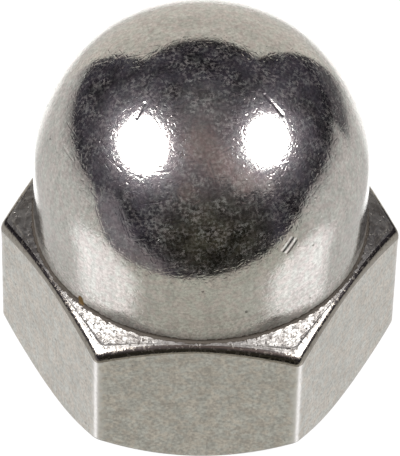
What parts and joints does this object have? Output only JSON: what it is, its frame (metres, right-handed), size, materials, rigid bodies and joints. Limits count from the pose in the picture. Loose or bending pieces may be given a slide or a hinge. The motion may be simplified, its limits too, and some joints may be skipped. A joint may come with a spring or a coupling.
{
  "type": "cap nut",
  "caption": "Domed cap nut: a hexagon with turned-down corners, a ball-shaped dome on a short neck and a blind threaded hole.",
  "frame": {"origin": "centre of the bearing face, on the thread's axis", "axes": "+Z along the thread's axis towards the top of the dome; two corners of the hexagon lie on X and two flats face Y"},
  "size_m": [0.0114, 0.01, 0.0117],
  "materials": {
    "stainless_steel": "tumbled stainless steel, satin flats and a brighter dome with fine turning marks"
  },
  "bodies": {
    "root": {"cap_nut": "stainless_steel"}
  },
  "joints": []
}
